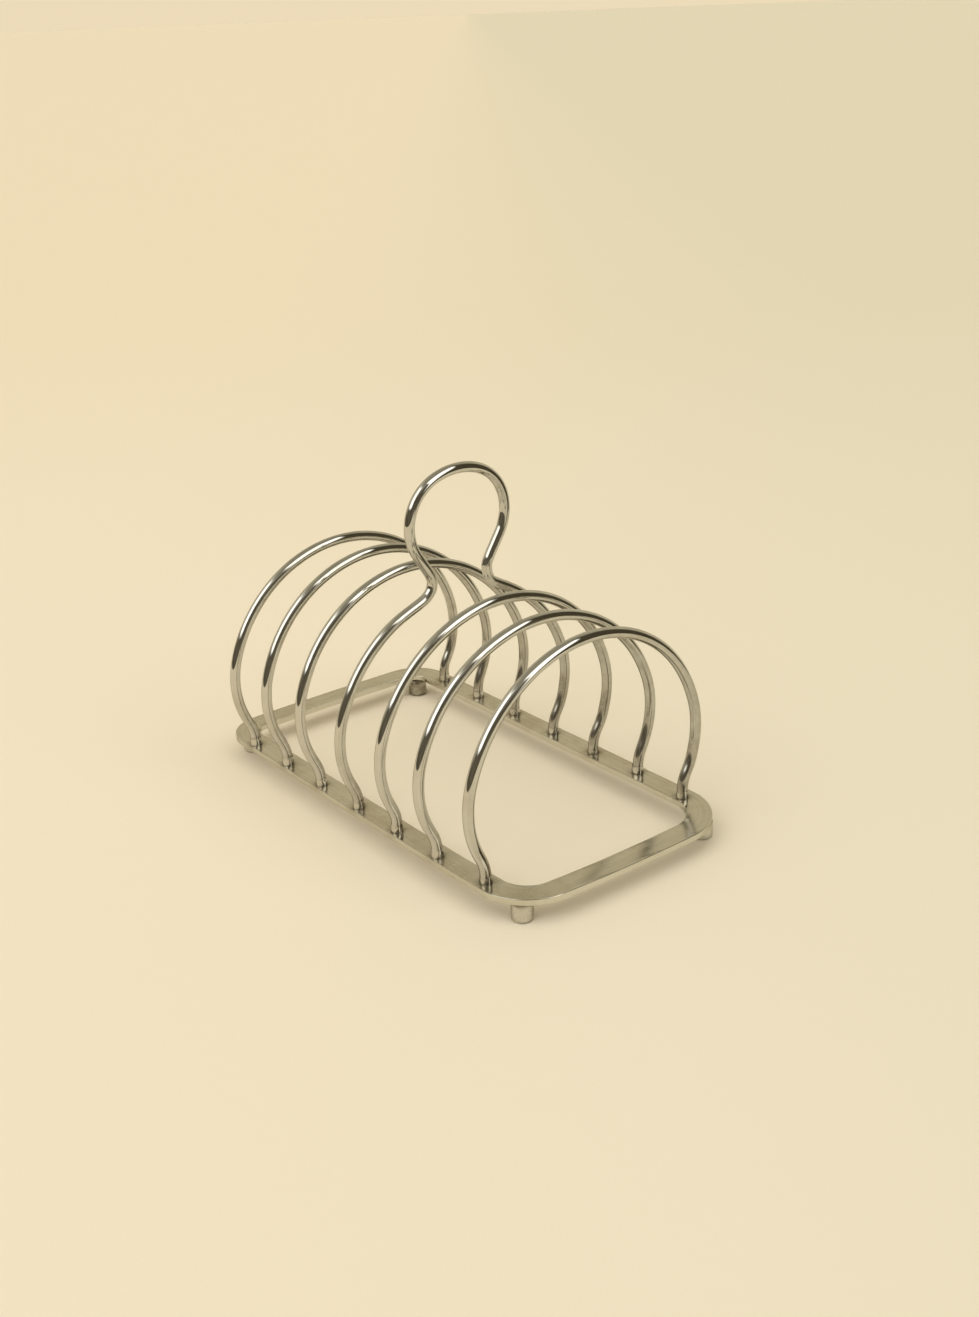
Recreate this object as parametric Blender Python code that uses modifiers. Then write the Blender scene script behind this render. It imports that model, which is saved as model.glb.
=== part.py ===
"""Toast rack: seven wire hoops on a flat strip base with four turned feet.

Metres, +Z up. The origin is on the surface the rack stands on, under the
middle of its overall box. +X runs along the rack towards its front end,
+Y towards its right-hand rail as seen from the front.

The base is a flat strip bent into a rounded rectangle. The ends of each wire
hoop drop through drilled holes in the two long rails and are brazed there.
The middle hoop is one longer wire that carries on up through two neck bends
into a pear-shaped carrying loop. Nothing on the rack moves.
"""
import math

import bmesh
import bpy
from mathutils import Vector

MM = 0.001

# ---- driving dimensions (mm) -------------------------------------------
WIRE_D = 3.25            # drawn wire, 10 gauge

STRIP_W = 7.6            # base strip, width and thickness
STRIP_T = 2.0
BASE_L = 159.4           # outside length and width of the base
BASE_W = 83.4
BASE_R = {               # outside corner radii, each bent by hand
    (1, 1): 20.0, (1, -1): 16.0, (-1, 1): 13.0, (-1, -1): 13.0,
}
END_BOW = 0.4            # the two ends bulge out by this much at the middle

FOOT_D = 6.3             # turned feet
FOOT_H = 5.5
FOOT_X = 71.4            # foot centres
FOOT_Y = 34.2

HOOP_H = 61.6            # hoop apex above the top of the strip, wire centre
TOP_R = 44.35            # wide arc over the toast
TOP_A = 72.2             # degrees that arc covers each side of the apex
SIDE_R = 28.6            # tighter arc round the shoulder and down the side
SPLAY = 29.3             # degrees the leg leans in before it straightens
LEG_R = 12.0             # reverse bend that brings the leg upright

LOOP_TOP = 97.1          # carrying loop apex above the strip, wire centre
LOOP_R = 22.7            # flatter arc over the top of the loop
LOOP_A = 20.9
LOOP_SIDE_R = 14.85      # round the sides of the loop
LOOP_LEAN = 32.4         # degrees the loop's flanks lean in towards the neck
LOOP_FLANK = 8.1         # straight flank
NECK_R = 5.5             # neck bend from the flank out to the shoulder
SHOULDER_A = 23.3        # slope of the shoulder where it joins the arch
LOOP_SHIFT = 2.4         # the loop was bent this far off the middle
MIDDLE_HOOP_H = 60.7     # the middle hoop's arch is pulled down a little

GAP = 0.3                # joint gap left for braze between touching pieces
HOLE_D = WIRE_D + 0.75   # drilled hole for a hoop end
BRAZE_H = 3.0            # height of the braze collar up the leg
BRAZE_BASE_D = 5.2
BRAZE_TOP_D = 4.3

# Hoops stand 20 mm apart as a rule, a little more or less from hoop to hoop.
# The base sits slightly off the middle of the row of hoops.
HOOPS_DX = -0.55
HOOPS_DY = -0.07
BASE_DY = 0.68
FOOT_DY = 0.2

# name, place along the rack, lean (degrees, + towards the front),
# width factor, height factor, sideways shift
HOOPS = [
    ("hoop_1", 60.4, 0.3, 0.976, 1.005, 0.0),
    ("hoop_2", 39.6, 0.0, 1.007, 0.991, 0.2),
    ("hoop_3", 19.7, 2.5, 0.997, 1.013, 0.0),
    ("handle_hoop", 0.0, 1.0, 1.0, 1.0, 0.0),
    ("hoop_5", -20.3, -1.6, 1.006, 0.997, 0.0),
    ("hoop_6", -39.8, -1.7, 1.003, 1.003, -0.15),
    ("hoop_7", -59.6, -0.5, 1.006, 0.999, -0.1),
]

STRIP_TOP = FOOT_H + STRIP_T


# ---- scene -------------------------------------------------------------
for ob in list(bpy.data.objects):
    bpy.data.objects.remove(ob, do_unlink=True)

rack = bpy.data.collections.new("toast_rack")
cutters = bpy.data.collections.new("toast_rack_cutters")
bpy.context.scene.collection.children.link(rack)
bpy.context.scene.collection.children.link(cutters)

root = bpy.data.objects.new("toast_rack_root", None)
rack.objects.link(root)


def material(name, rgb, rough, metal=1.0):
    mat = bpy.data.materials.new(name)
    mat.use_nodes = True
    bsdf = next(n for n in mat.node_tree.nodes if n.type == "BSDF_PRINCIPLED")
    bsdf.inputs["Base Color"].default_value = (*rgb, 1.0)
    bsdf.inputs["Roughness"].default_value = rough
    bsdf.inputs["Metallic"].default_value = metal
    return mat


def add(ob, mat, collection=rack):
    collection.objects.link(ob)
    ob.data.materials.append(mat)
    ob.parent = root
    return ob


# ---- hoop centre lines -------------------------------------------------
class Bend:
    """Half of a bent wire, drawn outwards from its apex.

    y is the distance from the middle, z the height. The heading is an angle
    down from level, so 90 degrees is straight down.
    """

    def __init__(self, y, z):
        self.p = (y, z)
        self.h = 0.0
        self.pts = [self.p]

    def arc(self, radius, degrees, step=4.2, least=2):
        sign = 1.0 if degrees > 0 else -1.0
        a = math.radians(abs(degrees))
        n = max(least, round(radius * a / step))
        cy = self.p[0] - sign * radius * math.sin(self.h)
        cz = self.p[1] - sign * radius * math.cos(self.h)
        for i in range(1, n + 1):
            t = self.h + sign * a * i / n
            self.pts.append((cy + sign * radius * math.sin(t),
                             cz + sign * radius * math.cos(t)))
        self.p = self.pts[-1]
        self.h += sign * a

    def line_to(self, y, z, n=1):
        y0, z0 = self.p
        for i in range(1, n + 1):
            self.pts.append((y0 + (y - y0) * i / n, z0 + (z - z0) * i / n))
        self.p = self.pts[-1]

    def straight(self, length, n=1):
        self.line_to(self.p[0] + length * math.cos(self.h),
                     self.p[1] - length * math.sin(self.h), n)


def leg(bend):
    """From the end of the top arc down the side, upright, through the strip."""
    bend.arc(SIDE_R, 90.0 + SPLAY - math.degrees(bend.h))
    bend.arc(LEG_R, -SPLAY, step=2.0)
    bend.h = math.pi / 2
    bend.line_to(bend.p[0], 0.0)
    bend.line_to(bend.p[0], -STRIP_T)


def plain_half():
    b = Bend(0.0, HOOP_H)
    b.arc(TOP_R, TOP_A)
    leg(b)
    return b.pts


def handle_half():
    b = Bend(0.0, LOOP_TOP)
    b.arc(LOOP_R, LOOP_A)
    b.arc(LOOP_SIDE_R, 90.0 + LOOP_LEAN - LOOP_A, step=3.2)
    b.straight(LOOP_FLANK, 2)
    b.arc(NECK_R, -(90.0 + LOOP_LEAN - SHOULDER_A), step=1.7)
    g = math.radians(SHOULDER_A)
    b.line_to(TOP_R * math.sin(g), MIDDLE_HOOP_H - TOP_R * (1 - math.cos(g)))
    b.h = g
    b.arc(TOP_R, TOP_A - SHOULDER_A)
    leg(b)
    return b.pts


def smoothstep(t):
    t = min(1.0, max(0.0, t))
    return t * t * (3.0 - 2.0 * t)


def hoop_points(name, x, lean, wide, tall, shift):
    half = handle_half() if name == "handle_hoop" else plain_half()
    slope = math.tan(math.radians(lean))
    pts = []
    for side, run in ((-1.0, half[::-1]), (1.0, half[1:])):
        for y, z in run:
            zz = z * tall if z > 0 else z
            yy = side * y * wide + shift
            if name == "handle_hoop":
                yy += LOOP_SHIFT * smoothstep((z - 54.0) / 9.0)
            pts.append(Vector((x + HOOPS_DX + slope * zz,
                               yy + HOOPS_DY,
                               zz + STRIP_TOP)) * MM)
    return pts


def wire(name, pts, mat):
    cu = bpy.data.curves.new(name, "CURVE")
    cu.dimensions = "3D"
    cu.twist_mode = "MINIMUM"
    cu.bevel_depth = WIRE_D / 2 * MM
    cu.bevel_resolution = 3
    cu.use_fill_caps = True
    sp = cu.splines.new("POLY")
    sp.points.add(len(pts) - 1)
    for p, co in zip(sp.points, pts):
        p.co = (*co, 1.0)
    sp.use_smooth = True
    return add(bpy.data.objects.new(name, cu), mat)


silver = material("hoop_wire", (0.78, 0.74, 0.64), 0.16)
legs = []        # (hoop name, side, x, y) of each hoop end at the strip's top
for spec in HOOPS:
    pts = hoop_points(*spec)
    wire(spec[0], pts, silver)
    number = len(legs) // 2 + 1
    legs.append((number, "left", pts[1].x, pts[1].y))
    legs.append((number, "right", pts[-2].x, pts[-2].y))


# ---- base strip --------------------------------------------------------
def rounded_outline(inset, corner_steps=9, end_steps=6):
    """Closed outline of the base, taken in by inset all round.

    Straight rails, slightly bowed ends and round corners.
    """
    hl, hw = BASE_L / 2 - END_BOW - inset, BASE_W / 2 - inset
    pts = []
    for qx, qy in ((1, 1), (-1, 1), (-1, -1), (1, -1)):
        start = {(1, 1): 0, (-1, 1): 90, (-1, -1): 180, (1, -1): 270}[qx, qy]
        radius = BASE_R[qx, qy] - inset
        cx, cy = qx * (hl - radius), qy * (hw - radius)
        for i in range(corner_steps + 1):
            a = math.radians(start + 90.0 * i / corner_steps)
            pts.append((cx + radius * math.cos(a), cy + radius * math.sin(a)))
        if (qx, qy) in ((-1, 1), (1, -1)):
            y0, y1 = cy, -qy * (hw - BASE_R[qx, -qy] + inset)
            for i in range(1, end_steps):
                t = i / end_steps
                pts.append((qx * (hl + 4 * END_BOW * t * (1 - t)),
                            y0 + (y1 - y0) * t))
    return pts


cu = bpy.data.curves.new("base_outline", "CURVE")
cu.dimensions = "2D"
cu.fill_mode = "BOTH"
cu.extrude = STRIP_T / 2 * MM
for inset in (0.0, STRIP_W):
    outline = rounded_outline(inset)
    sp = cu.splines.new("POLY")
    sp.points.add(len(outline) - 1)
    for p, (x, y) in zip(sp.points, outline):
        p.co = (x * MM, y * MM, 0.0, 1.0)
    sp.use_cyclic_u = True
flat = bpy.data.objects.new("base_outline", cu)
cutters.objects.link(flat)
flat.location = (0.0, BASE_DY * MM, (FOOT_H + STRIP_T / 2) * MM)
bpy.context.view_layer.update()

strip_mesh = bpy.data.meshes.new_from_object(
    flat.evaluated_get(bpy.context.evaluated_depsgraph_get()))
bm = bmesh.new()
bm.from_mesh(strip_mesh)
bmesh.ops.remove_doubles(bm, verts=bm.verts, dist=1e-6)
bmesh.ops.recalc_face_normals(bm, faces=bm.faces)
bm.to_mesh(strip_mesh)
bm.free()
strip_mesh.name = "base_frame"
base = bpy.data.objects.new("base_frame", strip_mesh)
base.matrix_world = flat.matrix_world.copy()
bpy.data.objects.remove(flat, do_unlink=True)
add(base, material("base_strip", (0.74, 0.70, 0.60), 0.24))

# one drilled hole for each hoop end
drill = material("cutter", (0.5, 0.1, 0.1), 0.8, 0.0)
hole_mesh = bpy.data.meshes.new("drill")
bm = bmesh.new()
bmesh.ops.create_cone(bm, cap_ends=True, segments=12, radius1=HOLE_D / 2 * MM,
                      radius2=HOLE_D / 2 * MM, depth=3 * STRIP_T * MM)
bm.to_mesh(hole_mesh)
bm.free()
hole_mesh.materials.append(drill)
for number, side, x, y in legs:
    tool = bpy.data.objects.new("drill_%d_%s" % (number, side), hole_mesh)
    cutters.objects.link(tool)
    tool.location = (x, y, (FOOT_H + STRIP_T / 2) * MM)
    tool.hide_render = True
    tool.display_type = "WIRE"
holes = base.modifiers.new("hoop_holes", "BOOLEAN")
holes.operation = "DIFFERENCE"
holes.operand_type = "COLLECTION"
holes.collection = cutters
holes.solver = "EXACT"


# ---- turned pieces -----------------------------------------------------
def turned(name, profile, steps, mat, closed):
    """Turn a profile (radius, height in mm) about Z.

    The profile is drawn up its inner side and down its outer side, so its
    faces point out.
    """
    me = bpy.data.meshes.new(name)
    bm = bmesh.new()
    vs = [bm.verts.new((r * MM, 0.0, z * MM)) for r, z in profile]
    for a, b in zip(vs, vs[1:]):
        bm.edges.new((a, b))
    if closed:
        bm.edges.new((vs[-1], vs[0]))
    bm.to_mesh(me)
    bm.free()
    ob = add(bpy.data.objects.new(name, me), mat)
    scr = ob.modifiers.new("turn", "SCREW")
    scr.axis = "Z"
    scr.angle = math.tau
    scr.steps = steps
    scr.render_steps = steps
    scr.use_merge_vertices = True
    scr.merge_threshold = 1e-5
    scr.use_normal_calculate = True
    return ob


# braze collar round each hoop end, hollow where the wire passes through it
braze = material("braze", (0.80, 0.77, 0.68), 0.22)
bore = HOLE_D / 2
collar = [
    (bore, GAP), (bore, BRAZE_H), (BRAZE_TOP_D / 2, BRAZE_H),
    (BRAZE_TOP_D / 2 + 0.08, BRAZE_H * 0.5), (BRAZE_BASE_D / 2, GAP + 0.25),
    (BRAZE_BASE_D / 2, GAP),
]
lean_of = {i + 1: spec[2] for i, spec in enumerate(HOOPS)}
for number, side, x, y in legs:
    ob = turned("braze_%d_%s" % (number, side), collar, 12, braze, True)
    ob.location = (x, y, STRIP_TOP * MM)
    ob.rotation_euler = (0.0, math.radians(lean_of[number]), 0.0)

# feet, a plain turned stub with a broken lower edge
foot_mat = material("foot", (0.76, 0.73, 0.64), 0.22)
r = FOOT_D / 2
foot = [
    (0.0, FOOT_H - GAP), (r, FOOT_H - GAP), (r, 0.5), (r - 0.15, 0.15),
    (r - 0.5, 0.0), (0.0, 0.0),
]
for name, sx, sy in (("foot_front_left", 1, -1), ("foot_front_right", 1, 1),
                     ("foot_rear_left", -1, -1), ("foot_rear_right", -1, 1)):
    ob = turned(name, foot, 20, foot_mat, False)
    ob.location = (sx * FOOT_X * MM, (sy * FOOT_Y + FOOT_DY) * MM, 0.0)

for ob in rack.objects:
    if ob.type == "MESH":
        ob.data.shade_smooth()
        ob.data.set_sharp_from_angle(angle=math.radians(40))

bpy.context.view_layer.update()
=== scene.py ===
import math

import bpy
import bmesh
import numpy as np
from mathutils import Matrix, Vector, noise
from mathutils.kdtree import KDTree


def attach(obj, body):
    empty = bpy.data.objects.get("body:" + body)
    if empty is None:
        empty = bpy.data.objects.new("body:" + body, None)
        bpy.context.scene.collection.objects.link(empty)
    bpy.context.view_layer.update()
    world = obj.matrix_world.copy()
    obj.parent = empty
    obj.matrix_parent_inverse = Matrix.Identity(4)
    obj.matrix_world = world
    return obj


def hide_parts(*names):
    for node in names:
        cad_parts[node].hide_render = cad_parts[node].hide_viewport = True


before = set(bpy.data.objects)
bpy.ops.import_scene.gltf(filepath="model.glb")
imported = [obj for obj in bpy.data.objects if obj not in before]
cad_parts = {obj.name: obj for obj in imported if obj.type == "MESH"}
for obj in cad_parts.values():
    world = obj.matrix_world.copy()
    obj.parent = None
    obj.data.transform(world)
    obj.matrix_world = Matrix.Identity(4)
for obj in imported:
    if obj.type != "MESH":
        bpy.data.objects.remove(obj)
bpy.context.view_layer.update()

scene = bpy.context.scene
MM = 0.001

# ------------------------------------------------------------------ sizes (mm)
# The same route and sections as the CAD frame.
WIRE_D = 3.25
STRIP_W, STRIP_T = 7.6, 2.0
BASE_L, BASE_W = 159.4, 83.4
BASE_R = {(1, 1): 20.0, (1, -1): 16.0, (-1, 1): 13.0, (-1, -1): 13.0}
END_BOW = 0.4
FOOT_D, FOOT_H, FOOT_X, FOOT_Y, FOOT_DY = 6.3, 5.5, 71.4, 34.2, 0.2
HOOP_H, TOP_R, TOP_A, SIDE_R, SPLAY, LEG_R = 61.6, 44.35, 72.2, 28.6, 29.3, 12.0
LOOP_TOP, LOOP_R, LOOP_A, LOOP_SIDE_R = 97.1, 22.7, 20.9, 14.85
LOOP_LEAN, LOOP_FLANK, NECK_R, SHOULDER_A = 32.4, 8.1, 5.5, 23.3
LOOP_SHIFT, MIDDLE_HOOP_H = 2.4, 60.7
HOOPS_DX, HOOPS_DY, BASE_DY = -0.55, -0.07, 0.68
STRIP_TOP = FOOT_H + STRIP_T
HOOPS = [
    ("hoop_1", 60.4, 0.3, 0.976, 1.005, 0.0),
    ("hoop_2", 39.6, 0.0, 1.007, 0.991, 0.2),
    ("hoop_3", 19.7, 2.5, 0.997, 1.013, 0.0),
    ("handle_hoop", 0.0, 1.0, 1.0, 1.0, 0.0),
    ("hoop_5", -20.3, -1.6, 1.006, 0.997, 0.0),
    ("hoop_6", -39.8, -1.7, 1.003, 1.003, -0.15),
    ("hoop_7", -59.6, -0.5, 1.006, 0.999, -0.1),
]


# ------------------------------------------------------------------ node help
class Net:
    def __init__(self, tree):
        self.tree = tree

    def node(self, kind, inputs=None, **props):
        n = self.tree.nodes.new(kind)
        for k, v in props.items():
            setattr(n, k, v)
        for k, v in (inputs or {}).items():
            self.put(n.inputs[k], v)
        return n

    def put(self, socket, value):
        if isinstance(value, bpy.types.NodeSocket):
            self.tree.links.new(value, socket)
        elif value is not None:
            socket.default_value = value

    def math(self, op, a, b=None, c=None, clamp=False):
        n = self.node("ShaderNodeMath", operation=op, use_clamp=clamp)
        for s, v in zip(n.inputs, (a, b, c)):
            self.put(s, v)
        return n.outputs[0]

    def step(self, value, lo, hi, a=0.0, b=1.0, kind="SMOOTHSTEP"):
        n = self.node("ShaderNodeMapRange", interpolation_type=kind)
        for k, v in (("Value", value), ("From Min", lo), ("From Max", hi),
                     ("To Min", a), ("To Max", b)):
            self.put(n.inputs[k], v)
        return n.outputs["Result"]

    def mix(self, fac, a, b, blend="MIX"):
        n = self.node("ShaderNodeMix", data_type="RGBA", blend_type=blend)
        self.put(n.inputs[0], fac)
        self.put(n.inputs[6], a if isinstance(a, bpy.types.NodeSocket) else (*a, 1.0))
        self.put(n.inputs[7], b if isinstance(b, bpy.types.NodeSocket) else (*b, 1.0))
        return n.outputs[2]

    def noise(self, vector, scale, detail=3.0, rough=0.5, distortion=0.0):
        n = self.node("ShaderNodeTexNoise")
        self.put(n.inputs["Vector"], vector)
        self.put(n.inputs["Scale"], scale)
        self.put(n.inputs["Detail"], detail)
        self.put(n.inputs["Roughness"], rough)
        self.put(n.inputs["Distortion"], distortion)
        return n.outputs[0]

    def scaled(self, vector, scale, offset=(0, 0, 0)):
        n = self.node("ShaderNodeMapping")
        self.put(n.inputs["Vector"], vector)
        self.put(n.inputs["Scale"], scale)
        self.put(n.inputs["Location"], offset)
        return n.outputs[0]


def material(name):
    m = bpy.data.materials.new(name)
    m.use_nodes = True
    nt = m.node_tree
    bsdf = next(n for n in nt.nodes if n.type == "BSDF_PRINCIPLED")
    return m, Net(nt), bsdf


# ------------------------------------------------------------------ metals
def worn_metal(name, clean, dull, grime_and_shade, rough, streak, fine, bump, run=True):
    """Polished plate that has been handled for years: drawn or rolled lines
    along the piece, hairline scratches and cloudy dull patches. A per-point
    mask darkens it where pieces meet and adds painted shade to the wires and feet."""
    m, net, bsdf = material(name)
    obj = net.node("ShaderNodeTexCoord").outputs["Object"]
    if run:
        along = net.node("ShaderNodeAttribute", attribute_name="run").outputs["Vector"]
    else:
        along = net.scaled(obj, (1000, 1000, 1000))
    dirt_and_shade = net.node("ShaderNodeAttribute", attribute_name="grime_and_shade").outputs["Fac"]

    clouds = net.noise(obj, 70.0, 4.0, 0.55, 0.4)
    spots = net.noise(obj, 420.0, 3.0, 0.6)
    lines = net.noise(net.scaled(along, streak), 1.0, 3.0, 0.6)
    hair = net.noise(net.scaled(along, fine, (13.7, 5.1, 2.9)), 1.0, 2.0, 0.5, 0.6)

    dullness = net.step(net.math("ADD", net.math("MULTIPLY", clouds, 0.75),
                                 net.math("MULTIPLY", spots, 0.25)), 0.42, 0.66)
    colour = net.mix(dullness, clean, dull)
    line_tone = net.step(lines, 0.35, 0.65, 0.93, 1.04, "LINEAR")
    shade = net.node("ShaderNodeCombineColor")
    for s in shade.inputs:
        net.put(s, line_tone)
    colour = net.mix(1.0, colour, shade.outputs[0], "MULTIPLY")
    # mix towards the dark colour by the per-point mask: darkening where pieces meet, and painted shade
    dirt_and_shade_mix = net.math("MULTIPLY", dirt_and_shade, net.step(spots, 0.30, 0.62, 0.55, 1.0),
                    clamp=True)
    colour = net.mix(dirt_and_shade_mix, colour, grime_and_shade)
    net.put(bsdf.inputs["Base Color"], colour)
    bsdf.inputs["Metallic"].default_value = 1.0
    bsdf.inputs["Specular Tint"].default_value = (0.62, 0.60, 0.54, 1.0)

    r = net.math("ADD", net.step(dullness, 0.0, 1.0, rough[0], rough[1], "LINEAR"),
                 net.step(lines, 0.3, 0.7, -0.02, 0.03, "LINEAR"))
    r = net.math("ADD", r, net.step(hair, 0.62, 0.70, 0.0, 0.09))
    r = net.math("ADD", r, net.math("MULTIPLY", dirt_and_shade_mix, 0.22))
    net.put(bsdf.inputs["Roughness"], net.math("MAXIMUM", r, 0.03))

    height = net.math("ADD", net.math("MULTIPLY", lines, 0.5),
                      net.math("MULTIPLY", net.step(hair, 0.60, 0.72), -0.5))
    height = net.math("ADD", height, net.math("MULTIPLY", spots, 0.35))
    b = net.node("ShaderNodeBump")
    b.inputs["Strength"].default_value = 1.0
    b.inputs["Distance"].default_value = bump
    net.put(b.inputs["Height"], height)
    net.put(bsdf.inputs["Normal"], b.outputs[0])
    return m


wire_mat = worn_metal("hoop_wire_worn_plate", (0.640, 0.632, 0.590), (0.560, 0.545, 0.490),
                      (0.17, 0.135, 0.085), (0.045, 0.105), (0.03, 1.5, 1.5),
                      (0.22, 2.6, 2.6), 0.000004)
strip_mat = worn_metal("base_strip_worn_plate", (0.640, 0.608, 0.515), (0.575, 0.528, 0.420),
                       (0.17, 0.135, 0.085), (0.15, 0.25), (0.02, 1.3, 1.3),
                       (0.16, 2.2, 2.2), 0.0000022)
# a lighter, glossier copy of the strip metal for its narrow sides: painted light
lit_side_mat = worn_metal("base_strip_lit_side", (0.690, 0.675, 0.600), (0.630, 0.605, 0.515),
                       (0.17, 0.135, 0.085), (0.085, 0.17), (0.02, 1.3, 1.3),
                       (0.16, 2.2, 2.2), 0.0000022)
braze_mat = worn_metal("braze_silver_solder", (0.640, 0.620, 0.560), (0.500, 0.470, 0.390),
                       (0.13, 0.10, 0.06), (0.17, 0.30), (0.5, 0.7, 0.7),
                       (1.4, 1.4, 1.4), 0.00001, run=False)
foot_mat = worn_metal("foot_turned_plate", (0.700, 0.690, 0.635), (0.620, 0.600, 0.530),
                      (0.20, 0.165, 0.11), (0.20, 0.32), (0.35, 0.35, 5.0),
                      (0.3, 0.3, 3.0), 0.000006, run=False)


# ------------------------------------------------------------------ mesh help
def piece(name, verts, faces, mat, slot, smooth_angle=40.0):
    me = bpy.data.meshes.new(name)
    me.from_pydata([tuple(v) for v in verts], [], faces)
    me.validate()
    me.update()
    me.materials.append(mat)
    me.shade_smooth()
    me.set_sharp_from_angle(angle=math.radians(smooth_angle))
    ob = bpy.data.objects.new(name, me)
    scene.collection.objects.link(ob)
    return ob


def attribute(ob, name, kind, values):
    a = ob.data.attributes.new(name, kind, "POINT")
    field = "vector" if kind == "FLOAT_VECTOR" else "value"
    a.data.foreach_set(field, np.asarray(values, np.float32).ravel())


def wobble(seed, s, wave):
    """Smooth value between about -1 and 1 along a length."""
    return noise.noise(Vector((s / wave, seed * 7.31, seed * 3.17)))


# ------------------------------------------------------------------ hoops
class Bend:
    """Half of a bent wire, drawn outwards from its apex (y out, z up)."""

    def __init__(self, y, z):
        self.p, self.h, self.pts = (y, z), 0.0, [(y, z)]

    def arc(self, radius, degrees, step=0.5):
        sign = 1.0 if degrees > 0 else -1.0
        a = math.radians(abs(degrees))
        n = max(2, round(radius * a / step))
        cy = self.p[0] - sign * radius * math.sin(self.h)
        cz = self.p[1] - sign * radius * math.cos(self.h)
        for i in range(1, n + 1):
            t = self.h + sign * a * i / n
            self.pts.append((cy + sign * radius * math.sin(t),
                             cz + sign * radius * math.cos(t)))
        self.p = self.pts[-1]
        self.h += sign * a

    def line_to(self, y, z):
        y0, z0 = self.p
        n = max(1, round(math.hypot(y - y0, z - z0) / 0.5))
        for i in range(1, n + 1):
            self.pts.append((y0 + (y - y0) * i / n, z0 + (z - z0) * i / n))
        self.p = self.pts[-1]


def leg(b):
    b.arc(SIDE_R, 90.0 + SPLAY - math.degrees(b.h))
    b.arc(LEG_R, -SPLAY)
    b.h = math.pi / 2
    b.line_to(b.p[0], 0.0)
    b.line_to(b.p[0], -STRIP_T)
    return b.pts


def plain_half():
    b = Bend(0.0, HOOP_H)
    b.arc(TOP_R, TOP_A)
    return leg(b)


def handle_half():
    b = Bend(0.0, LOOP_TOP)
    b.arc(LOOP_R, LOOP_A)
    b.arc(LOOP_SIDE_R, 90.0 + LOOP_LEAN - LOOP_A)
    b.line_to(b.p[0] + LOOP_FLANK * math.cos(b.h), b.p[1] - LOOP_FLANK * math.sin(b.h))
    b.arc(NECK_R, -(90.0 + LOOP_LEAN - SHOULDER_A))
    g = math.radians(SHOULDER_A)
    b.line_to(TOP_R * math.sin(g), MIDDLE_HOOP_H - TOP_R * (1 - math.cos(g)))
    b.h = g
    b.arc(TOP_R, TOP_A - SHOULDER_A)
    return leg(b)


def smoothstep(t):
    t = min(1.0, max(0.0, t))
    return t * t * (3.0 - 2.0 * t)


def centre_line(name, x, lean, wide, tall, shift):
    half = handle_half() if name == "handle_hoop" else plain_half()
    slope = math.tan(math.radians(lean))
    pts = []
    for side, run in ((-1.0, half[::-1]), (1.0, half[1:])):
        for y, z in run:
            zz = z * tall if z > 0 else z
            yy = side * y * wide + shift
            if name == "handle_hoop":
                yy += LOOP_SHIFT * smoothstep((z - 54.0) / 9.0)
            pts.append((x + HOOPS_DX + slope * zz, yy + HOOPS_DY, zz + STRIP_TOP))
    return np.array(pts)


def eased(pts, step, sigma):
    """Even spacing, with the change from one bend to the next eased."""
    d = np.r_[0, np.cumsum(np.linalg.norm(np.diff(pts, axis=0), axis=1))]
    n = int(round(d[-1] / step))
    t = np.linspace(0, d[-1], n + 1)
    q = np.stack([np.interp(t, d, pts[:, k]) for k in range(3)], 1)
    w = int(4 * sigma / step) + 1
    kern = np.exp(-0.5 * (np.arange(-w, w + 1) * step / sigma) ** 2)
    kern /= kern.sum()
    first, last = q[0] - q[1], q[-1] - q[-2]
    ahead = np.array([q[0] + first * i for i in range(w, 0, -1)])
    after = np.array([q[-1] + last * i for i in range(1, w + 1)])
    p = np.concatenate([ahead, q, after])
    return np.stack([np.convolve(p[:, k], kern, "valid") for k in range(3)], 1), t


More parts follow.
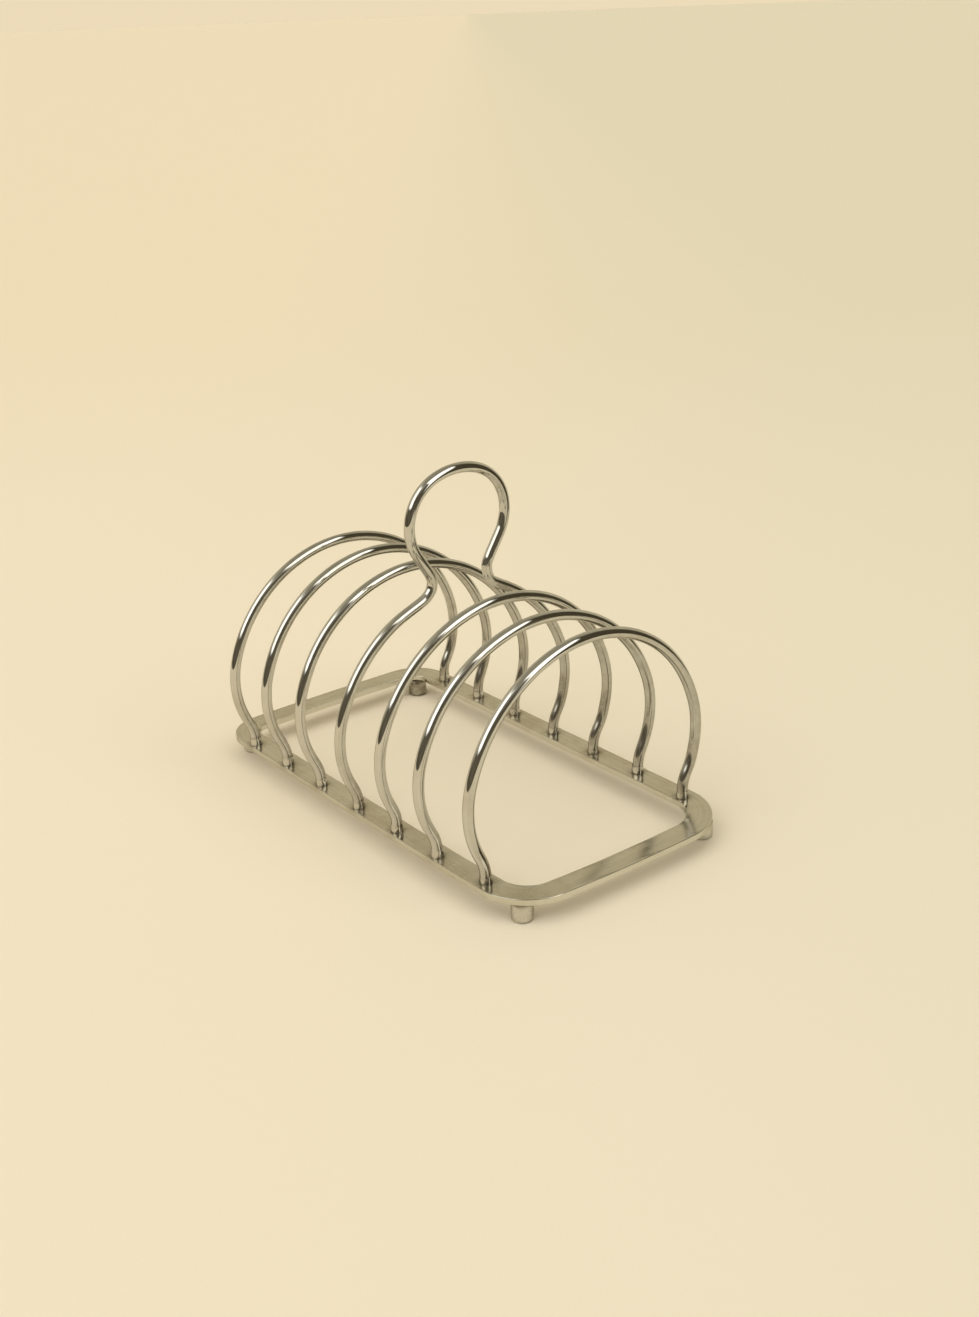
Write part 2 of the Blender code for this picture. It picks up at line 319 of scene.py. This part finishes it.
SIDES = 28
EXTRA_LEAN = {"hoop_1": 0.20, "hoop_2": -0.03, "hoop_3": 0.22, "handle_hoop": 0.16,
              "hoop_5": 0.0, "hoop_6": -0.04, "hoop_7": 0.15}
legs = []
for index, spec in enumerate(HOOPS):
    name = spec[0]
    raw = centre_line(*spec)
    line, s = eased(raw, 0.75, 1.2)
    # the bend just above each right foot was pulled a little tighter
    u = (line[:, 2] - STRIP_TOP - 8.0) / 8.0
    pull = EXTRA_LEAN[name] * np.sin(np.pi * u) * (1 - u * u)
    line[:, 1] += np.where((np.abs(u) < 1.0) & (line[:, 1] > 0), pull, 0.0)
    legs += [(index + 1, "left", raw[0][0], raw[0][1]),
             (index + 1, "right", raw[-1][0], raw[-1][1])]
    tangent = np.gradient(line, axis=0)
    tangent /= np.linalg.norm(tangent, axis=1)[:, None]
    slope = math.tan(math.radians(spec[2]))
    across = np.array([1.0, 0.0, -slope])
    across /= np.linalg.norm(across)
    curve = np.linalg.norm(np.gradient(tangent, s, axis=0), axis=1)
    length = s[-1]
    verts, run, grime_and_shade, faces = [], [], [], []
    chamfer = [(0.0, WIRE_D / 2 - 0.22), (0.06, WIRE_D / 2 - 0.08)]
    rings = []
    for j in range(len(line)):
        rings.append((line[j], tangent[j], s[j], None))
    for j, (p, t, at, _) in enumerate(rings):
        e1 = across
        e2 = np.cross(t, e1)
        e2 /= np.linalg.norm(e2)
        end = min(at, length - at)
        hand = smoothstep((end - 6.0) / 10.0)
        # hand bending leaves the wire a touch uneven, and a tight bend flattens it
        p = p + hand * (0.035 * wobble(index + 1, at, 23.0) * e1
                        + 0.030 * wobble(index + 31, at, 17.0) * e2)
        flat = min(0.035, 0.16 * curve[j])
        r = WIRE_D / 2 * (1.0 + hand * 0.006 * wobble(index + 61, at, 9.0))
        if j == 0 or j == len(rings) - 1:
            r -= 0.12
        for k in range(SIDES):
            a = 2 * math.pi * k / SIDES
            c1, c2 = math.cos(a), math.sin(a)
            q = p + r * (c1 * (1 + 0.5 * flat) * e1 + c2 * (1 - flat) * e2)
            verts.append(q * MM)
            run.append((at, c1 * WIRE_D / 2 + 20 * index, c2 * WIRE_D / 2))
            height = q[2] - STRIP_TOP
            g = 0.8 * math.exp(-max(0.0, height) / 1.5) if height < 12 else 0.0
            # painted shade: the right half of each hoop is darker, for the shaded floor it reflects
            g += 0.24 * smoothstep((q[1] - 5.0) / 30.0)
            if q[1] > 0:                      # painted shade: right legs darker still low down
                g += 0.22 * smoothstep((height - 1.0) / 3.0) * smoothstep((24.0 - height) / 10.0)
            if q[1] < 0 and height < 26:      # painted shade on the side of a left leg facing into the rack, low down
                out = c1 * e1 + c2 * e2
                side_on = smoothstep(out[0] * 0.80 + out[1] * 0.55 + 0.05)
                g += 0.75 * side_on * math.exp(-(max(0.0, height) / 10.5) ** 2)
            grime_and_shade.append(min(1.0, g))
    count = len(rings)
    for j in range(count - 1):
        for k in range(SIDES):
            a, b = j * SIDES + k, j * SIDES + (k + 1) % SIDES
            faces.append((a, b, b + SIDES, a + SIDES))
    for j, flip in ((0, True), (count - 1, False)):
        centre = len(verts)
        verts.append(np.array(rings[j][0]) * MM)
        run.append((rings[j][2], 20 * index, 0.0))
        grime_and_shade.append(0.85)
        for k in range(SIDES):
            a, b = j * SIDES + k, j * SIDES + (k + 1) % SIDES
            faces.append((centre, b, a) if flip else (centre, a, b))
    ob = piece("wire_" + name, verts, faces, wire_mat, "hoop_wire", 50.0)
    attribute(ob, "run", "FLOAT_VECTOR", run)
    attribute(ob, "grime_and_shade", "FLOAT", grime_and_shade)
    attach(ob, "root")
    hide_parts(name)


# ------------------------------------------------------------------ base strip
def stations(gap=1.5):
    """Places round the base: (corner or side point, outward normal) so that a
    point of the section stands at outline minus inset times the normal."""
    hl, hw = BASE_L / 2 - END_BOW, BASE_W / 2
    out = []

    def arc(qx, qy, start):
        radius = BASE_R[qx, qy]
        cx, cy = qx * (hl - radius), qy * (hw - radius)
        n = max(10, round(radius * math.pi / 2 / 0.9))
        for i in range(n + 1):
            a = math.radians(start + 90.0 * i / n)
            out.append((cx + radius * math.cos(a), cy + radius * math.sin(a),
                        math.cos(a), math.sin(a)))

    def side(x0, y0, x1, y1, nx, ny, bow):
        n = max(2, round(math.hypot(x1 - x0, y1 - y0) / gap))
        for i in range(1, n):
            t = i / n
            b = 4 * bow * t * (1 - t)
            slant = 4 * bow * (1 - 2 * t) / math.hypot(x1 - x0, y1 - y0)
            tx, ty = x1 - x0, y1 - y0
            k = math.hypot(tx, ty)
            ax, ay = nx - slant * tx / k, ny - slant * ty / k
            m = math.hypot(ax, ay)
            out.append((x0 + tx * t + nx * b, y0 + ty * t + ny * b, ax / m, ay / m))

    order = [((1, 1), 0), ((-1, 1), 90), ((-1, -1), 180), ((1, -1), 270)]
    for i, ((qx, qy), start) in enumerate(order):
        arc(qx, qy, start)
        (rx, ry), _ = order[(i + 1) % 4]
        r0, r1 = BASE_R[qx, qy], BASE_R[rx, ry]
        if qx == rx:      # an end of the base
            side(qx * hl, qy * (hw - r0), qx * hl, ry * (hw - r1), qx, 0, END_BOW)
        else:             # a rail
            side(qx * (hl - r0), qy * hw, rx * (hl - r1), qy * hw, 0, qy, 0.0)
    return out


def strip_section():
    """(inset, z) round the section of the flat strip, corners softened by
    rolling and polishing, the top very slightly crowned."""
    r, w, t = 0.22, STRIP_W, STRIP_T
    pts = []
    for i in range(9):                       # top, outer edge to inner edge
        u = r + (w - 2 * r) * i / 8
        pts.append((u, t - 0.03 * (2 * u / w - 1) ** 2))
    for cx, cz, start in ((w - r, t - r, 90), (w - r, r, 0), (r, r, -90), (r, t - r, 180)):
        if start == -90:                     # underside
            for i in range(1, 6):
                pts.append((w - r - (w - 2 * r) * i / 6, 0.0))
        for i in range(5):
            if start == 90 and i == 0 or start == 180 and i == 4:
                continue
            a = math.radians(start - 90.0 * i / 4)
            pts.append((cx + r * math.cos(a), cz + r * math.sin(a)))
    return pts


ring = stations()
section = strip_section()
travel = [0.0]
for a, b in zip(ring, ring[1:]):
    travel.append(travel[-1] + math.hypot(b[0] - a[0], b[1] - a[1]))
total = travel[-1] + math.hypot(ring[0][0] - ring[-1][0], ring[0][1] - ring[-1][1])
verts, run = [], []
for (x, y, nx, ny), at in zip(ring, travel):
    turn = 2 * math.pi * at / total
    around = Vector((math.cos(turn) * total / 6.3, math.sin(turn) * total / 6.3, 0))
    lift = 0.035 * noise.noise(around / 19.0) + 0.02 * noise.noise(around / 7.0 + Vector((9, 0, 3)))
    side_shift = 0.05 * noise.noise(around / 24.0 + Vector((0, 5, 11)))
    tilt = 0.006 * noise.noise(around / 15.0 + Vector((4, 2, 8)))
    # the front end sits a little short, and its left corner a little high
    short = (0.66 - 0.011 * y) * smoothstep((x - 42.0) / 28.0)
    raised = 0.5 * math.exp(-((x - 74.0) ** 2 + (y + 40.0) ** 2) / 22.0 ** 2)
    for inset, z in section:
        u = inset + side_shift
        ripple = 0.010 * noise.noise(Vector((x / 5.0, y / 5.0, 1.7)) + Vector((inset / 3.0, 0, 0))) if z > 1.5 else 0.0
        verts.append(((x - short - nx * u) * MM, (y - ny * u + BASE_DY) * MM,
                      (FOOT_H + z + raised + lift * 0.6 + tilt * (inset - STRIP_W / 2) + ripple) * MM))
        run.append((at, inset, z))
m = len(section)
faces = []
for i in range(len(ring)):
    for k in range(m):
        a, b = i * m + k, i * m + (k + 1) % m
        c, d = ((i + 1) % len(ring)) * m + (k + 1) % m, ((i + 1) % len(ring)) * m + k
        faces.append((a, b, c, d))
strip = piece("strip_base", verts, faces, strip_mat, "base_strip")
bm = bmesh.new()
bm.from_mesh(strip.data)
bmesh.ops.remove_doubles(bm, verts=bm.verts, dist=1e-7)
bmesh.ops.recalc_face_normals(bm, faces=bm.faces)
bm.to_mesh(strip.data)
bm.free()

# one hole for each wire end, drilled right through
bm = bmesh.new()
for _, _, x, y in legs:
    bmesh.ops.create_cone(bm, cap_ends=True, segments=32, radius1=(WIRE_D / 2 + 0.06) * MM,
                          radius2=(WIRE_D / 2 + 0.06) * MM, depth=6 * MM,
                          matrix=Matrix.Translation((x * MM, y * MM, (FOOT_H + 1) * MM)))
drill_mesh = bpy.data.meshes.new("drill")
bm.to_mesh(drill_mesh)
bm.free()
drill = bpy.data.objects.new("drill", drill_mesh)
scene.collection.objects.link(drill)
cut = strip.modifiers.new("holes", "BOOLEAN")
cut.operation, cut.solver, cut.object = "DIFFERENCE", "EXACT", drill
bpy.context.view_layer.update()
cut_mesh = bpy.data.meshes.new_from_object(strip.evaluated_get(bpy.context.evaluated_depsgraph_get()))
strip.modifiers.clear()
old = strip.data
strip.data = cut_mesh
cut_mesh.name = "strip_base"
bpy.data.meshes.remove(old)
bpy.data.objects.remove(drill, do_unlink=True)
bpy.data.meshes.remove(drill_mesh)
cut_mesh.materials.clear()
cut_mesh.materials.append(strip_mat)
cut_mesh.materials.append(lit_side_mat)
for poly in cut_mesh.polygons:      # painted light: its narrow sides get a lighter copy of the strip metal
    poly.material_index = 1 if abs(poly.normal.z) < 0.75 else 0
cut_mesh.shade_smooth()
cut_mesh.set_sharp_from_angle(angle=math.radians(50))
tree = KDTree(len(verts))
for i, v in enumerate(verts):
    tree.insert(v, i)
tree.balance()
where, grime_and_shade = [], []
for v in cut_mesh.vertices:
    _, i, _ = tree.find(v.co)
    where.append(run[i])
    x, y, z = v.co / MM
    d = min(math.hypot(x - lx, y - ly) for _, _, lx, ly in legs)
    top = 1.0 if z > STRIP_TOP - 0.6 else 0.35
    grime_and_shade.append(top * 0.75 * math.exp(-max(0.0, d - WIRE_D / 2 - 0.3) / 0.9))
attribute(strip, "run", "FLOAT_VECTOR", where)
attribute(strip, "grime_and_shade", "FLOAT", grime_and_shade)
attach(strip, "root")
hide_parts("base_frame")


# ------------------------------------------------------------------ brazed joints
def turned(name, profile, sides, mat, slot, closed, shape=None):
    """profile is (radius, height) in mm, drawn so that faces point out."""
    verts, faces = [], []
    n = len(profile)
    cols = []
    for k in range(sides):
        a = 2 * math.pi * k / sides
        col = []
        for i, (r, z) in enumerate(profile):
            if r <= 0 and k > 0:
                col.append(cols[0][i])
                continue
            rr, zz = shape(i, a, r, z) if shape else (r, z)
            col.append(len(verts))
            verts.append((rr * math.cos(a), rr * math.sin(a), zz))
        cols.append(col)
    for k in range(sides):
        p, q = cols[k], cols[(k + 1) % sides]
        for i in range(n if closed else n - 1):
            j = (i + 1) % n
            f = [p[i], q[i], q[j], p[j]]
            f = [v for x, v in enumerate(f) if v not in f[:x]]
            if len(f) > 2:
                faces.append(f)
    return verts, faces


lean_of = {i + 1: spec[2] for i, spec in enumerate(HOOPS)}
for number, side, x, y in legs:
    seed = number * 2 + (side == "right")
    rise = 2.5 + 0.5 * wobble(seed + 200, 0, 1.0)
    foot_r = 1.88 + 0.08 * wobble(seed + 240, 0, 1.0)
    bore = WIRE_D / 2 - 0.03
    profile = [(bore, -0.03), (foot_r, -0.03)]
    steps = 12
    for i in range(steps + 1):
        u = i / steps
        r = WIRE_D / 2 + 0.035 + (foot_r - WIRE_D / 2 - 0.035) * (1 - u) ** 1.3
        profile.append((r, 0.03 + rise * u))
    profile.append((bore, 0.03 + rise))

    def lumpy(i, a, r, z, seed=seed, top=rise, bore=bore):
        if r <= bore + 1e-6:
            return r, z
        n = noise.noise(Vector((math.cos(a) * 1.0 + seed * 5.3, math.sin(a) * 1.0, z * 0.30)))
        n2 = noise.noise(Vector((math.cos(a) * 2.6, math.sin(a) * 2.6 + seed * 3.1, z * 0.45)))
        u = min(1.0, max(0.0, z / top))
        rr = r + (0.12 * n + 0.12 * n2) * (1.0 - 0.55 * u)
        zz = z + (0.7 * n * u if z > 0 else 0.0)
        return max(bore + 0.05, rr), zz

    v, f = turned("", profile, 48, braze_mat, "braze", True, lumpy)
    slope = math.tan(math.radians(lean_of[number]))
    placed = [((x + px + slope * max(0.0, pz)) * MM, (y + py) * MM, (STRIP_TOP + pz) * MM)
              for px, py, pz in v]
    ob = piece("joint_%d_%s" % (number, side), placed, f, braze_mat, "braze", 60.0)
    bm = bmesh.new()
    bm.from_mesh(ob.data)
    bmesh.ops.recalc_face_normals(bm, faces=bm.faces)
    bm.to_mesh(ob.data)
    bm.free()
    shade = []
    for px, py, pz in v:
        low = math.exp(-max(0.0, pz) / 0.40)
        high = math.exp(-max(0.0, rise + 0.15 - pz) / 0.35)
        shade.append(min(1.0, 0.35 * low + 0.50 * high))
    attribute(ob, "grime_and_shade", "FLOAT", shade)
    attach(ob, "root")
    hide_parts("braze_%d_%s" % (number, side))


# ------------------------------------------------------------------ feet
def foot_profile():
    r, h = FOOT_D / 2, FOOT_H
    pts = [(0.0, 0.0), (r - 1.2, 0.0)]
    for i in range(7):                      # worn round lower edge
        a = math.radians(-90 + 90 * i / 6)
        pts.append((r - 0.75 + 0.75 * math.cos(a), 0.75 + 0.75 * math.sin(a)))
    for z in (1.6, 2.5, 3.4, 4.3):
        pts.append((r, z))
    pts += [(r, h - 0.42), (r - 0.06, h - 0.30), (r - 0.22, h - 0.20),
            (r - 0.45, h - 0.10), (r - 0.5, h + 0.01), (0.0, h + 0.01)]
    return pts


for name, sx, sy in (("foot_front_left", 1, -1), ("foot_front_right", 1, 1),
                     ("foot_rear_left", -1, -1), ("foot_rear_right", -1, 1)):
    seed = sx * 3 + sy

    def hand(i, a, r, z, seed=seed):
        return r * (1.0 + 0.004 * math.cos(2 * a + seed)), z

    v, f = turned("", foot_profile(), 56, foot_mat, "foot", False, hand)
    cx, cy = sx * FOOT_X, sy * FOOT_Y + FOOT_DY
    if sx > 0:
        cx -= 0.55 if sy < 0 else 0.35
    tall = 1.0 + (0.44 if name == "foot_front_left" else 0.0) / FOOT_H
    placed = [((cx + px) * MM, (cy + py) * MM, pz * tall * MM) for px, py, pz in v]
    ob = piece("turned_" + name, placed, f, foot_mat, "foot", 45.0)
    bm = bmesh.new()
    bm.from_mesh(ob.data)
    bmesh.ops.remove_doubles(bm, verts=bm.verts, dist=1e-7)
    bmesh.ops.recalc_face_normals(bm, faces=bm.faces)
    bm.to_mesh(ob.data)
    bm.free()
    shade = []
    for vert in ob.data.vertices:
        z = vert.co.z / MM
        # painted shade: the rear right foot is darkened all over, as it stands in shadow, and every foot is darkened
        # just under the strip and at the floor
        rear_right_shadow = 0.72 if name == "foot_rear_right" else 0.0
        shade.append(min(1.0, rear_right_shadow + 0.9 * math.exp(-max(0.0, FOOT_H - 0.15 - z) / 0.3)
                         + 0.45 * math.exp(-z / 0.5)))
    attribute(ob, "grime_and_shade", "FLOAT", shade)
    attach(ob, "root")
    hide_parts(name)


# ------------------------------------------------------------------ floor
# One sheet of cream paper. Close to the rack it also shows in the metal; past
# the table's edge the metal sees the room instead, so the far part of the
# sheet is left out of reflections.
m, net, bsdf = material("cream_paper")
obj = net.node("ShaderNodeTexCoord").outputs["Object"]
place = net.node("ShaderNodeSeparateXYZ", {0: obj})
px, py, _ = place.outputs
deep = net.math("SUBTRACT", net.math("MULTIPLY", py, 0.61), net.math("MULTIPLY", px, 0.79))
wide = net.math("ADD", net.math("MULTIPLY", py, 0.79), net.math("MULTIPLY", px, 0.61))
tone = net.noise(obj, 2.0, 2.0, 0.4)
grain = net.noise(obj, 1500.0, 2.0, 0.5)
# painted light: the paper is darker and warmer towards the back, and darker and greener to the right of the view, for
# light falling off across the sheet
colour = net.mix(net.step(deep, -0.25, 0.9), (0.870, 0.785, 0.650), (0.832, 0.735, 0.570))
colour = net.mix(net.step(wide, -0.22, 0.34, 0.0, 1.0), colour,
                 net.mix(1.0, colour, (0.89, 0.935, 0.94), "MULTIPLY"))
colour = net.mix(net.step(grain, 0.30, 0.70, 0.0, 0.05, "LINEAR"), colour, (0.74, 0.63, 0.45))
net.put(bsdf.inputs["Base Color"], colour)
bsdf.inputs["Roughness"].default_value = 0.9
bsdf.inputs["Specular IOR Level"].default_value = 0.12
bump = net.node("ShaderNodeBump")
bump.inputs["Strength"].default_value = 0.25
bump.inputs["Distance"].default_value = 0.00004
net.put(bump.inputs["Height"], grain)
net.put(bsdf.inputs["Normal"], bump.outputs[0])


def table_edge(az):
    """How far the paper shows in the metal, in metres, at an azimuth."""
    d = abs((az - 143.0 + 180.0) % 360.0 - 180.0)
    near = smoothstep((50.0 - d) / 28.0)
    d = abs((az - 236.0 + 180.0) % 360.0 - 180.0)
    far = smoothstep((75.0 - d) / 25.0)
    return 0.62 * (1 - near) + 0.27 * near + far * 3.0


SPOKES = 96
edge = [table_edge(360.0 * k / SPOKES) for k in range(SPOKES)]


def ring_sheet(name, radii):
    """radii gives, for each ring, the distance of each spoke."""
    verts, faces = [], []
    for row in radii:
        for k in range(SPOKES):
            a = 2 * math.pi * k / SPOKES
            verts.append((row[k] * math.sin(a), -row[k] * math.cos(a), 0.0))
    for i in range(len(radii) - 1):
        for k in range(SPOKES):
            a, b = i * SPOKES + k, i * SPOKES + (k + 1) % SPOKES
            faces.append((a, a + SPOKES, b + SPOKES, b))
    if radii[0][0] < 0.01:      # the near sheet is closed at its middle
        verts.append((0.0, 0.0, 0.0))
        faces += [(len(verts) - 1, k, (k + 1) % SPOKES) for k in range(SPOKES)]
    me = bpy.data.meshes.new(name)
    me.from_pydata(verts, [], faces)
    me.materials.append(m)
    ob = bpy.data.objects.new(name, me)
    scene.collection.objects.link(ob)
    ob.location.z = -0.00002
    return ob


ring_sheet("paper_near", [[0.002] * SPOKES] + [[e * f for e in edge] for f in (0.1, 0.3, 0.6, 1.0)])
far_sheet = ring_sheet("paper_far", [edge] + [[e + g for e in edge] for g in (0.3, 1.0, 3.0, 9.0, 25.0, 70.0)])
far_sheet.visible_glossy = False


# ------------------------------------------------------------------ light
# Two tall soft windows, one each side of the camera, in a dim room, with the
# pale backdrop rising behind the rack. Angles are in degrees: azimuth 0 looks
# out along -Y and 90 along +X.
world = bpy.data.worlds.new("studio")
scene.world = world
world.use_nodes = True
world.node_tree.nodes.clear()
net = Net(world.node_tree)
direction = net.node("ShaderNodeTexCoord").outputs["Generated"]
sep = net.node("ShaderNodeSeparateXYZ", {0: direction})
dx, dy, dz = sep.outputs
up = net.math("MULTIPLY", net.math("ARCSINE", net.math("MINIMUM", net.math("MAXIMUM", dz, -1.0), 1.0)),
              180.0 / math.pi)


def off_azimuth(centre):
    c, s = math.cos(math.radians(centre)), math.sin(math.radians(centre))
    sine = net.math("ADD", net.math("MULTIPLY", dx, c), net.math("MULTIPLY", dy, s))
    cosine = net.math("SUBTRACT", net.math("MULTIPLY", dx, s), net.math("MULTIPLY", dy, c))
    return net.math("MULTIPLY", net.math("ARCTAN2", sine, cosine), 180.0 / math.pi)


def patch(centre, half, soft, low, high, soft_up):
    off = net.math("ABSOLUTE", off_azimuth(centre))
    a = net.step(off, half - soft, half + soft, 1.0, 0.0)
    b = net.step(up, low - soft_up, low + soft_up)
    c = net.step(up, high - soft_up, high + soft_up, 1.0, 0.0)
    return net.math("MULTIPLY", a, net.math("MULTIPLY", b, c))


def widening(centre, width, soft, low, high, soft_up):
    """A patch whose half width, in degrees, is width[0] at its lower edge and
    grows with height by width[1] per degree and width[2] per square degree."""
    above = net.math("MAXIMUM", net.math("SUBTRACT", up, low), 0.0)
    half = net.math("ADD", width[0], net.math("ADD", net.math("MULTIPLY", above, width[1]),
                    net.math("MULTIPLY", net.math("MULTIPLY", above, above), width[2])))
    past = net.math("SUBTRACT", net.math("ABSOLUTE", off_azimuth(centre)), half)
    a = net.step(past, -soft, soft, 1.0, 0.0)
    b = net.step(up, low - soft_up, low + soft_up)
    c = net.step(up, high - soft_up, high + soft_up, 1.0, 0.0)
    return net.math("MULTIPLY", a, net.math("MULTIPLY", b, c))


LIGHT = 0.95
in_metal = net.node("ShaderNodeLightPath").outputs["Is Glossy Ray"]
room = net.noise(net.scaled(direction, (3.0, 3.0, 3.0)), 1.0, 3.0, 0.6)
colour = net.mix(net.step(room, 0.35, 0.65), (0.082, 0.068, 0.043), (0.165, 0.140, 0.095))
# darkest side of the room, to the right of the camera
colour = net.mix(patch(143.0, 24.0, 8.0, -60.0, 50.0, 10.0), colour, (0.085, 0.070, 0.040))
# ceiling, a lamp-lit panel for the room but shaded from the metal
colour = net.mix(net.step(up, 56.0, 66.0), colour,
                 net.mix(in_metal, (1.40, 1.30, 1.06), (0.37, 0.335, 0.245)))
# backdrop, brighter near the table
sweep = net.mix(net.step(up, 5.0, 62.0, kind="LINEAR"), (0.95, 0.85, 0.62), (0.37, 0.335, 0.24))
colour = net.mix(patch(234.0, 62.0, 9.0, -80.0, 60.0, 8.0), colour, sweep)
# wall beside the left window, and the one between the windows
colour = net.mix(patch(306.0, 18.0, 14.0, 10.0, 62.0, 9.0), colour, (0.66, 0.60, 0.46))
colour = net.mix(patch(66.0, 20.0, 6.0, 34.0, 62.0, 8.0), colour, (0.33, 0.30, 0.24))
# the two windows
colour = net.mix(widening(-1.0, (27.0, 0.15, 0.0068), 3.5, 22.0, 62.0, 2.5), colour,
                 net.mix(in_metal, (2.50, 2.44, 2.29), (2.30, 2.24, 2.09)))
colour = net.mix(widening(109.0, (5.0, 0.05, 0.0100), 3.0, 1.0, 57.0, 3.0), colour,
                 net.mix(in_metal, (2.50, 2.42, 2.24), (2.30, 2.22, 2.04)))
# light thrown back low down by pale walls, which keeps the shadows open
low_down = net.math("MULTIPLY", net.math("SUBTRACT", 1.0, in_metal), net.step(up, 16.0, 30.0, 1.0, 0.0))
colour = net.mix(low_down, colour, (0.98, 0.92, 0.75))
studio = net.node("ShaderNodeBackground", {"Color": colour, "Strength": LIGHT})
plain = net.node("ShaderNodeBackground")
net.put(plain.inputs["Color"], net.mix(patch(48.0, 88.0, 40.0, -95.0, 95.0, 2.0),
                                       (0.845, 0.708, 0.485), (0.905, 0.775, 0.540)))
ray = net.node("ShaderNodeLightPath").outputs["Is Camera Ray"]
both = net.node("ShaderNodeMixShader", {0: ray, 1: studio.outputs[0], 2: plain.outputs[0]})
net.node("ShaderNodeOutputWorld", {"Surface": both.outputs[0]})


# ------------------------------------------------------------------ camera
AZ, EL, ROLL = 52.42880, 22.52583, -2.23369
FOCAL, CX, CY = 1567.204, 489.5, 658.5      # in pixels of the 979 x 1317 frame
U0, V0, DEPTH = 460.45, 768.09, 0.49241
a, e, r = (math.radians(v) for v in (AZ, EL, ROLL))
back = Vector((math.sin(a) * math.cos(e), -math.cos(a) * math.cos(e), math.sin(e)))
right = (-back).cross(Vector((0, 0, 1))).normalized()
upward = right.cross(-back)
right, upward = (math.cos(r) * right + math.sin(r) * upward,
                 -math.sin(r) * right + math.cos(r) * upward)
aim = Vector((HOOPS_DX * MM, HOOPS_DY * MM, STRIP_TOP * MM))
place = aim - DEPTH * (-back) - right * ((U0 - CX) / FOCAL * DEPTH) + upward * ((V0 - CY) / FOCAL * DEPTH)
cam_data = bpy.data.cameras.new("camera")
cam_data.sensor_width = 36.0
cam_data.sensor_fit = "AUTO"
cam_data.lens = FOCAL * 36.0 / 1317.0
cam_data.clip_start, cam_data.clip_end = 0.01, 200.0
camera = bpy.data.objects.new("camera", cam_data)
scene.collection.objects.link(camera)
camera.matrix_world = Matrix.Translation(place) @ Matrix((right, upward, back)).transposed().to_4x4()
scene.camera = camera

scene.view_settings.view_transform = "Standard"
scene.view_settings.look = "None"
